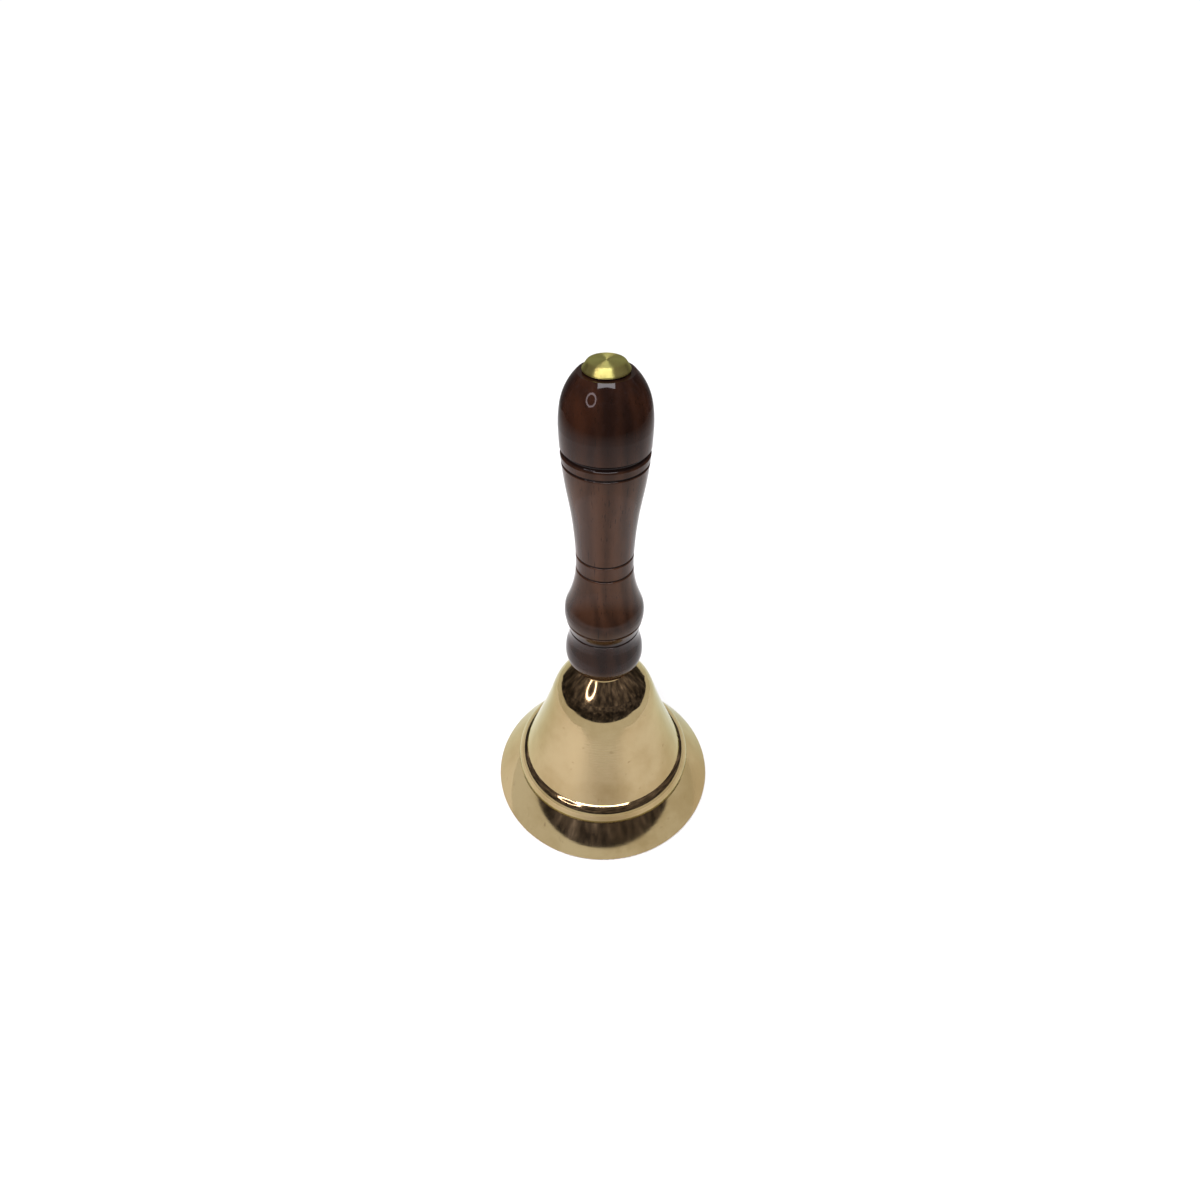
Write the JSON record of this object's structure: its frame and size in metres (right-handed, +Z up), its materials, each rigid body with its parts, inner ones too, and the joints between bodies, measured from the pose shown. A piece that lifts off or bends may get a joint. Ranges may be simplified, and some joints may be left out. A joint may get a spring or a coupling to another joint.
{
  "type": "hand bell",
  "caption": "Brass hand bell with a flared mouth, a turned dark wooden handle and a clapper hanging inside on rings.",
  "frame": {"origin": "centre of the bell's mouth, on the flat face of the lip that the bell stands on", "axes": "+Z up along the turning axis, from the mouth to the cap on the handle; the clapper's loop and the bolt's eye lie in the X-Z plane and the link ring between them in the Y-Z plane"},
  "size_m": [0.08, 0.08, 0.1629],
  "materials": {
    "bell_brass": "satin polished",
    "trim_brass": "polished",
    "ball_brass": "machined, unpolished",
    "dark_wood": "gloss varnish",
    "black_fibre": "matt",
    "plated_steel": "zinc plated"
  },
  "bodies": {
    "bell": {"bell_shell": "bell_brass", "neck_collar": "trim_brass", "wooden_handle": "dark_wood", "cap_washer": "black_fibre", "cap_nut": "trim_brass", "eye_bolt": "plated_steel", "crown_washer": "plated_steel", "crown_nut": "plated_steel"},
    "link": {"link_ring": "plated_steel"},
    "clapper": {"clapper_stem": "plated_steel", "clapper_ball": "ball_brass"}
  },
  "joints": [
    {"name": "clapper_swing", "type": "hinge", "parent": "bell", "child": "link", "pos_m": [0, 0, 0.0411], "axis": [1, 0, 0], "range_deg": [-36, 36]},
    {"name": "clapper_sway", "type": "hinge", "parent": "link", "child": "clapper", "pos_m": [0, 0, 0.0355], "axis": [0, 1, 0], "range_deg": [-9, 9]}
  ]
}
